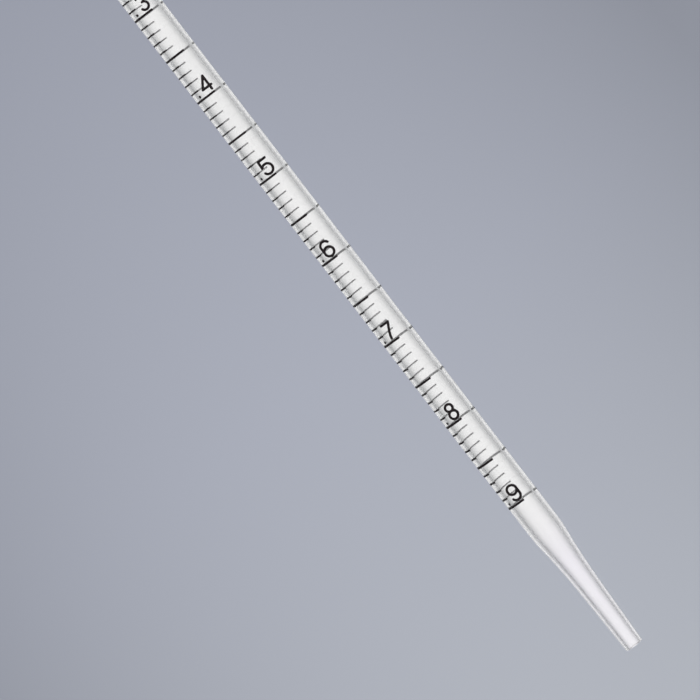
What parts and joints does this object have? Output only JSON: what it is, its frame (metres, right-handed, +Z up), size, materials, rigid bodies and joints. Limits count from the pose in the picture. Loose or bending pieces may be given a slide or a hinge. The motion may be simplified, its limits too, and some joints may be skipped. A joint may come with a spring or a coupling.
{
  "type": "serological pipette",
  "caption": "Slim clear plastic tube drawn to an open tip, printed with a fine volume scale, with a fibre filter plug that pulls out of the mouth.",
  "frame": {"origin": "centre of the mouth rim, where a pipette controller holds the tube", "axes": "+Z up along the tube and out of the mouth, the tip at -Z; -Y is the front, where the numerals are read; +X is to the reader's right"},
  "size_m": [0.0046, 0.0046, 0.27],
  "materials": {
    "clear_polystyrene": "clear and glossy with a slight milky haze",
    "plug_fibre": "compressed white fibre, matte",
    "scale_ink": "thin black printed ink, satin",
    "band_ink": "thin yellow printed ink, satin"
  },
  "bodies": {
    "barrel": {"barrel": "clear_polystyrene", "tenth_lines": "scale_ink", "half_tenth_lines": "scale_ink", "hundredth_ticks": "scale_ink", "numeral_0": "scale_ink", "numeral_1": "scale_ink", "numeral_2": "scale_ink", "numeral_3": "scale_ink", "numeral_4": "scale_ink", "numeral_5": "scale_ink", "numeral_6": "scale_ink", "numeral_7": "scale_ink", "numeral_8": "scale_ink", "numeral_9": "scale_ink", "capacity_band": "band_ink"},
    "plug": {"filter_plug": "plug_fibre"}
  },
  "joints": [
    {"name": "plug_slide", "type": "slide", "parent": "barrel", "child": "plug", "axis": [0, 0, 1], "range_m": [0, 0.024]}
  ]
}
